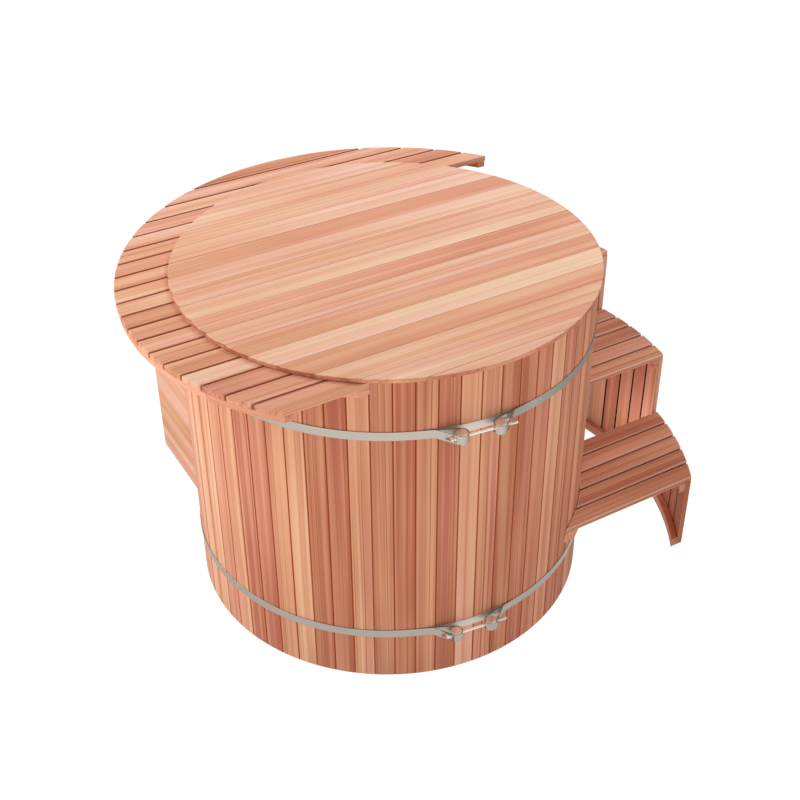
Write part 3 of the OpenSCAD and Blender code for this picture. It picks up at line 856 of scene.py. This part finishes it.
def cedar_grain_group():
    """Grain and tone of cedar, with painted shade in its joints and a painted highlight on some
    edges, for every timber finish.
    """
    tree, w, given, out = new_group(
        "Cedar grain",
        [
            ("Grain", "Vector"), ("Tone", "Float"), ("Joint", "Float"), ("End grain and rim shade", "Float"),
            ("Edge highlight", "Float"),
            ("Pale", "Color"), ("Warm", "Color"), ("Red", "Color"), ("Deep", "Color"),
            ("Streaks", "Float"), ("Fibre", "Float"),
        ],
        [("Color", "Color"), ("Roughness", "Float"), ("Height", "Float")],
    )
    sway = w.swing(w.noise(given["Grain"], SWAY_WAVES, 1.0), SWAY)
    bent = w.vector(
        "ADD", given["Grain"], w.add("ShaderNodeCombineXYZ", {"Y": sway}).outputs[0]
    )
    cloud = w.noise(bent, CLOUD_WAVES, 2.0)
    blush = w.span(w.noise(bent, BLUSH_WAVES, 1.0), 0.35, 0.65)
    bands = w.span(w.noise(bent, BAND_WAVES, 2.0), 0.38, 0.62)
    lines = w.noise(bent, LINE_WAVES, 2.0, 0.6)
    rings = w.span(w.noise(bent, RING_WAVES, 1.0), 0.58, 0.72)
    fibre = w.noise(bent, FIBRE_WAVES, 1.0)

    figure = w.total(w.swing(bands, 0.5), w.swing(lines, 0.8), w.math("MULTIPLY", rings, 0.7))
    # The end grain input also carries the painted shade on the lid's rim
    tone = w.total(
        given["Tone"], w.swing(cloud, 0.5), w.math("MULTIPLY", figure, given["Streaks"]),
        w.math("MULTIPLY", given["End grain and rim shade"], END_DEPTH),
    )
    # From pale to warm over the first half of the tones, and on to red over the second
    to_warm = w.math("MULTIPLY", tone, 2.0)
    colour = w.mix(to_warm, given["Pale"], given["Warm"])
    colour = w.mix(w.math("SUBTRACT", to_warm, 1.0), colour, given["Red"])
    colour = w.mix(1.0, colour, w.mix(blush, PLAIN_HUE, BLUSH_HUE), "MULTIPLY")
    dark = w.math("SUBTRACT", 1.0, w.math("MULTIPLY", w.swing(fibre, 1.0), given["Fibre"]))
    colour = w.mix(1.0, colour, w.grey(dark), "MULTIPLY")
    # Painted highlight: chosen rounded edges lightened towards the palest wood
    colour = w.mix(given["Edge highlight"], colour, given["Pale"])
    # Painted shade: faces in a joint darkened towards the joint colour
    colour = w.mix(given["Joint"], colour, given["Deep"])
    tree.links.new(colour, out["Color"])
    tree.links.new(w.math("ADD", 0.5, w.math("MULTIPLY", lines, 0.25)), out["Roughness"])
    height = w.total(w.math("MULTIPLY", lines, 0.6), w.math("MULTIPLY", fibre, 0.4))
    tree.links.new(height, out["Height"])
    return tree


def brushed_group():
    """Fine lines along a metal part, for the strap, the clamps and the drain."""
    tree, w, given, out = new_group(
        "Brushed lines",
        [("Grain", "Vector"), ("Tint", "Color"), ("Lines", "Float"), ("Rough", "Float")],
        [("Color", "Color"), ("Roughness", "Float"), ("Height", "Float")],
    )
    lines = w.noise(given["Grain"], BRUSH_WAVES, 2.0)
    patches = w.noise(given["Grain"], PATCH_WAVES, 2.0)
    uneven = w.total(w.swing(lines, 1.0), w.swing(patches, 0.5))
    dim = w.math("SUBTRACT", 1.0, w.math("MULTIPLY", uneven, given["Lines"]))
    tree.links.new(w.mix(1.0, given["Tint"], w.grey(dim), "MULTIPLY"), out["Color"])
    rough = w.math("MULTIPLY", w.swing(patches, 0.5), given["Lines"])
    tree.links.new(w.math("ADD", given["Rough"], rough), out["Roughness"])
    tree.links.new(lines, out["Height"])
    return tree


def finish_material(name, group_name, build_group, attributes, inputs, bump, shader):
    """A material whose group feeds colour, roughness and bump of a Principled BSDF.

    attributes names the mesh attribute that each of the group's sockets reads. inputs, bump and
    shader are the values set on the group, on the bump and on the shader.
    """
    found = bpy.data.materials.get(name)
    if found:
        return found
    group = bpy.data.node_groups.get(group_name) or build_group()
    material = bpy.data.materials.new(name)
    material.use_nodes = True
    material.node_tree.nodes.clear()
    w = Wiring(material.node_tree)
    effect = w.add("ShaderNodeGroup", node_tree=group)
    for socket, attribute in attributes.items():
        reader = w.add("ShaderNodeAttribute", attribute_name=attribute)
        output = "Vector" if socket == "Grain" else "Fac"
        material.node_tree.links.new(reader.outputs[output], effect.inputs[socket])
    for socket, value in inputs.items():
        effect.inputs[socket].default_value = value
    relief = w.add("ShaderNodeBump", {**bump, "Height": effect.outputs["Height"]})
    bsdf = w.add(
        "ShaderNodeBsdfPrincipled",
        {
            "Base Color": effect.outputs["Color"],
            "Roughness": effect.outputs["Roughness"],
            "Normal": relief.outputs[0],
            **shader,
        },
    )
    w.add("ShaderNodeOutputMaterial", {"Surface": bsdf.outputs[0]})
    return material


def cedar(name):
    """One of the planed cedar finishes."""
    look = bpy.context.scene.cedar_look
    streaks, fibre, shade = CEDAR_FINISHES[name]
    return finish_material(
        name, "Cedar grain", cedar_grain_group,
        {
            "Grain": "grain", "Tone": "tone", "Joint": "joint", "End grain and rim shade": "endgrain_and_rim_shade",
            "Edge highlight": "painted_highlight",
        },
        {
            "Pale": (*look.pale, 1), "Warm": (*look.warm, 1), "Red": (*look.red, 1),
            "Deep": (*getattr(look, shade), 1), "Streaks": streaks, "Fibre": fibre,
        },
        {"Strength": 0.25, "Distance": 0.0006},
        {"Specular IOR Level": 0.12},
    )


def metal(name):
    """One of the metal finishes, or a coat on one, with fine lines along the part."""
    colour, lines, rough, metallic = METAL_FINISHES[name]
    tint = getattr(bpy.context.scene.steel_look, colour)
    return finish_material(
        name, "Brushed lines", brushed_group, {"Grain": "grain"},
        {"Tint": (*tint, 1), "Lines": lines, "Rough": rough},
        {"Strength": 0.1, "Distance": 0.0002},
        {"Metallic": metallic},
    )


# Pieces


class TUB_OT_staves(bpy.types.Operator):
    """Dress the stave wall"""

    bl_idname = "tub.staves"
    bl_label = "Stave wall"

    def execute(self, context):
        look = context.scene.cedar_look
        usual = random_tones("wall", WALL_TONES)
        first = 0

        def tones(number):
            tone, drift = usual(number)
            if first + number in PALE_STAVES:
                tone = towards(tone, look.pale_tone, PALE_STAVE_SHARE)
            elif first + number in RED_STAVES:
                tone = look.red_tone
            return tone, drift

        for node in STAVE_NODES:
            first += cedar_piece(
                node, cedar("cedar wall"), GRAIN_UP, row_round(), tones, look.arris, STAVE_JOINT_SHADE,
                closed=look.stave_swell,
            )
        return {"FINISHED"}


class TUB_OT_floor(bpy.types.Operator):
    """Dress the tub's floor boards and joists"""

    bl_idname = "tub.floor"
    bl_label = "Tub floor"

    def execute(self, context):
        look = context.scene.cedar_look
        cedar_piece(
            "floor_boards", cedar("cedar wall"), GRAIN_X, row_y(),
            random_tones("floor", FLOOR_TONES), look.arris, FLOOR_JOINT_SHADE,
        )
        cedar_piece(
            "floor_joists", cedar("cedar frame"), GRAIN_Y, LOOSE,
            random_tones("joists", FRAME_TONES), look.arris,
        )
        return {"FINISHED"}


class TUB_OT_lid(bpy.types.Operator):
    """Dress the lid's boards, battens and screws"""

    bl_idname = "tub.lid"
    bl_label = "Lid"

    def execute(self, context):
        look = context.scene.cedar_look
        low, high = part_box("lid_boards")
        inside = (high.x - low.x) / 2 - LID_RIM
        usual = random_tones("lid", LID_TONES)

        def tones(number):
            tone, drift = usual(number)
            if number in PALE_LID_BOARDS:
                tone = look.pale_tone
            elif number in RED_LID_BOARDS:
                tone = towards(tone, look.red_tone, RED_LID_SHARE)
            return tone, LID_DRIFT_TIMES * drift

        cedar_piece(
            "lid_boards", cedar("cedar lid"), GRAIN_X, row_y(True, True), tones, look.lid_arris,
            LID_JOINT_SHADE, rim=inside,
        )
        cedar_piece(
            "lid_battens", cedar("cedar lid"), GRAIN_Y, LOOSE,
            random_tones("battens", BATTEN_TONES), look.arris,
        )
        metal_piece("lid_screws", metal("polished steel"), context.scene.steel_look.edge)
        return {"FINISHED"}


class TUB_OT_shelf(bpy.types.Operator):
    """Dress the slatted shelf round the rim"""

    bl_idname = "tub.shelf"
    bl_label = "Rim shelf"

    def execute(self, context):
        look = context.scene.cedar_look
        for side, shade in SHELF_JOINT_SHADES.items():
            row = row_y(False, True) if side == "back" else row_y(True, False)
            cedar_piece(
                "shelf_slats_" + side, cedar("cedar slats"), GRAIN_X, row,
                random_tones(side + " boards", SHELF_TONES), look.slat_arris, shade,
            )
        for node in SHELF_RAILS:
            cedar_piece(
                node, cedar("cedar frame"), GRAIN_ROUND, row_round(True, True),
                random_tones(node, SHELF_RAIL_TONES), look.arris,
            )
        return {"FINISHED"}


class TUB_OT_steps(bpy.types.Operator):
    """Dress the three steps"""

    bl_idname = "tub.steps"
    bl_label = "Steps"

    def execute(self, context):
        look = context.scene.cedar_look
        for step, (tread_tones, wall_tones) in STEPS.items():
            cedar_piece(
                step + "_tread", cedar("cedar slats"), GRAIN_X, row_y(True, False),
                random_tones(step + "_tread", tread_tones), look.tread_arris, TREAD_JOINT_SHADE,
                TREAD_HIGHLIGHT,
            )
            cedar_piece(
                step + "_wall", cedar("cedar upright slats"), GRAIN_UP,
                row_round(True, False, FRONT_TURN), random_tones(step + "_wall", wall_tones),
                look.arris, UPRIGHT_GAP_SHADE,
            )
            for part in STEP_RAILS:
                cedar_piece(
                    step + part, cedar("cedar frame"), GRAIN_ROUND, LOOSE,
                    random_tones(step + part, FRAME_TONES), look.arris,
                )
        return {"FINISHED"}


class TUB_OT_housing(bpy.types.Operator):
    """Dress the low housing behind the tub"""

    bl_idname = "tub.housing"
    bl_label = "Housing"

    def execute(self, context):
        look = context.scene.cedar_look
        cedar_piece(
            "housing_top", cedar("cedar slats"), GRAIN_X, row_y(False, True),
            random_tones("housing_top", HOUSING_TOP_TONES), look.slat_arris, TREAD_JOINT_SHADE,
            HOUSING_HIGHLIGHT,
        )
        for side, row in (("right", row_round()), ("left", row_round(False, True))):
            node = "housing_wall_" + side
            cedar_piece(
                node, cedar("cedar upright slats"), GRAIN_UP, row,
                random_tones(node, HOUSING_WALL_TONES), look.arris, UPRIGHT_GAP_SHADE,
            )
        for node in HOUSING_RAILS:
            cedar_piece(
                node, cedar("cedar frame"), GRAIN_ROUND, row_round(True, True),
                random_tones(node, FRAME_TONES), look.arris,
            )
        cedar_piece(
            "housing_panel", cedar("cedar wall"), GRAIN_LEVEL_Y, row_up(False, True),
            random_tones("housing_panel", PANEL_TONES), look.arris, PANEL_JOINT_SHADE,
        )
        cedar_piece(
            "housing_posts", cedar("cedar frame"), GRAIN_UP, LOOSE,
            random_tones("housing_posts", FRAME_TONES), look.arris,
        )
        return {"FINISHED"}


class TUB_OT_hoops(bpy.types.Operator):
    """Dress the hoop straps and the bridge plates"""

    bl_idname = "tub.hoops"
    bl_label = "Hoops"

    def execute(self, context):
        edge = context.scene.steel_look.edge
        for node in STRAP_NODES:
            metal_piece(node, metal("satin strap"), edge)
        metal_piece("hoop_bridges", metal("bridge steel"), edge)
        return {"FINISHED"}


class TUB_OT_clamps(bpy.types.Operator):
    """Dress the clamp barrels, saddles and bolts"""

    bl_idname = "tub.clamps"
    bl_label = "Hoop clamps"

    def execute(self, context):
        look = context.scene.steel_look
        metal_piece("clamp_barrels", metal("polished steel"), look.barrel_edge)
        metal_piece("bolt_saddles", metal("polished steel"), look.edge)
        for node in BOLT_NODES:
            bolt_piece(node, metal("polished steel"), look)
        return {"FINISHED"}


class TUB_OT_drain(bpy.types.Operator):
    """Dress the drain and its valve"""

    bl_idname = "tub.drain"
    bl_label = "Drain"

    def execute(self, context):
        edge = context.scene.steel_look.edge
        inner, outer = (sum(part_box(node), Vector()) / 2 for node in ("drain_tube", "valve_body"))
        axis = (outer - inner).normalized()
        for node in ("drain_tube", "drain_locknut", "valve_body"):
            metal_piece(node, metal("drain brass"), edge, axis)
        metal_piece("valve_ball", metal("polished steel"), edge)
        metal_piece("valve_lever", metal("lever sleeve"), edge)
        return {"FINISHED"}


class TUB_OT_stage(bpy.types.Operator):
    """Set the floor, the light and the camera"""

    bl_idname = "tub.stage"
    bl_label = "Stage"

    def execute(self, context):
        look = context.scene.stage_look
        front = Vector((math.sin(look.azimuth), -math.cos(look.azimuth), 0))
        side = Vector((front.y, -front.x, 0))
        self.add_floor(context, look, (front + FLOOR_TURN * side).normalized())
        self.add_room(context, look, front, side)
        middle = (CAD_BOX[0] + CAD_BOX[1]) / 2
        for name, lamp, power in (("key", KEY_LAMP, look.key), ("top", TOP_LAMP, look.top)):
            place = lamp.side * side + lamp.front * front + lamp.height * Z_AXIS
            self.add_lamp(context, name, place, middle, lamp.size, power)
        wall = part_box("step_2_wall")
        target = Vector((wall[1].x, CARD_PLACE.y, CARD_AIM_HEIGHT))
        self.add_lamp(context, "card", CARD_PLACE, target, CARD_SIZE, look.card)

        camera = bpy.data.cameras.new("camera")
        camera.lens = look.lens
        camera.shift_x, camera.shift_y = look.shift
        eye = bpy.data.objects.new("camera", camera)
        eye.location = look.camera_place
        eye.rotation_euler = (math.radians(90) - look.elevation, 0, look.azimuth)
        context.scene.collection.objects.link(eye)
        context.scene.camera = eye
        context.scene.view_settings.view_transform = "Standard"
        return {"FINISHED"}

    def add_floor(self, context, look, front):
        """A floor that is plain white to look at and sends back more light in front."""
        bm = bmesh.new()
        bmesh.ops.create_grid(bm, x_segments=1, y_segments=1, size=FLOOR_REACH)
        mesh = bpy.data.meshes.new("floor")
        bm.to_mesh(mesh)
        bm.free()
        floor = bpy.data.objects.new("floor", mesh)
        floor.location.z = CAD_BOX[0].z
        context.scene.collection.objects.link(floor)

        material = bpy.data.materials.new("pale floor")
        material.use_nodes = True
        material.node_tree.nodes.clear()
        mesh.materials.append(material)
        w = Wiring(material.node_tree)
        place = w.add("ShaderNodeTexCoord").outputs["Object"]
        ahead = w.vector("DOT_PRODUCT", place, front, "Value")
        light = w.span(
            ahead, -look.fade_back, look.fade_front, look.floor_back, look.floor_front
        )
        bounce = w.add("ShaderNodeEmission", {"Color": (*look.room_tint, 1), "Strength": light})
        white = w.add("ShaderNodeEmission", {"Color": (*look.floor, 1), "Strength": WHITE})
        seen = w.add("ShaderNodeLightPath").outputs["Is Camera Ray"]
        shown = w.add("ShaderNodeMixShader", {0: seen, 1: bounce.outputs[0], 2: white.outputs[0]})
        w.add("ShaderNodeOutputMaterial", {"Surface": shown.outputs[0]})

    def add_room(self, context, look, front, side):
        """A room with light panels that is lighter in front of the tub than behind it."""
        world = bpy.data.worlds.new("room")
        world.use_nodes = True
        world.node_tree.nodes.clear()
        context.scene.world = world
        w = Wiring(world.node_tree)
        way = w.add("ShaderNodeTexCoord").outputs["Generated"]
        ahead = w.vector("DOT_PRODUCT", way, front, "Value")
        aside = w.vector("DOT_PRODUCT", way, side, "Value")
        turn = w.math("MULTIPLY", w.math("ARCTAN2", aside, ahead), PANEL_COUNT)
        panels = w.span(
            w.math("COSINE", turn), -PANEL_EDGE, PANEL_EDGE, 1 - look.panels, 1 + look.panels
        )
        light = w.math(
            "MULTIPLY", w.span(ahead, -1.0, 1.0, look.room_back, look.room_front), panels
        )
        sky = w.add("ShaderNodeBackground", {"Color": (*look.room_tint, 1), "Strength": light})
        white = w.add("ShaderNodeBackground", {"Color": (*look.floor, 1), "Strength": WHITE})
        seen = w.add("ShaderNodeLightPath").outputs["Is Camera Ray"]
        shown = w.add("ShaderNodeMixShader", {0: seen, 1: sky.outputs[0], 2: white.outputs[0]})
        w.add("ShaderNodeOutputWorld", {"Surface": shown.outputs[0]})

    def add_lamp(self, context, name, place, target, size, power):
        """A square soft light that looks at a target."""
        lamp = bpy.data.lights.new(name, "AREA")
        lamp.size, lamp.energy = size, power
        obj = bpy.data.objects.new(name, lamp)
        obj.location = place
        obj.rotation_euler = (target - place).to_track_quat("-Z", "Y").to_euler()
        context.scene.collection.objects.link(obj)


PIECES = (
    TUB_OT_staves, TUB_OT_floor, TUB_OT_lid, TUB_OT_shelf, TUB_OT_steps, TUB_OT_housing,
    TUB_OT_hoops, TUB_OT_clamps, TUB_OT_drain, TUB_OT_stage,
)


class TUB_PT_looks(bpy.types.Panel):
    """Lists the pieces of the tub"""

    bl_idname = "TUB_PT_looks"
    bl_label = "Plunge Tub"
    bl_space_type = "VIEW_3D"
    bl_region_type = "UI"
    bl_category = "Plunge Tub"

    def draw(self, context):
        for piece in PIECES:
            self.layout.operator(piece.bl_idname)


LOOKS = {"cedar_look": CedarLook, "steel_look": SteelLook, "stage_look": StageLook}


def register():
    for cls in (*LOOKS.values(), *PIECES, TUB_PT_looks):
        bpy.utils.register_class(cls)
    for name, cls in LOOKS.items():
        setattr(bpy.types.Scene, name, PointerProperty(type=cls))


def unregister():
    for name in LOOKS:
        delattr(bpy.types.Scene, name)
    for cls in reversed((*LOOKS.values(), *PIECES, TUB_PT_looks)):
        bpy.utils.unregister_class(cls)


def main():
    """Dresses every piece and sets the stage."""
    register()
    for piece in PIECES:
        group, name = piece.bl_idname.split(".")
        getattr(getattr(bpy.ops, group), name)()


if __name__ == "__main__":
    main()
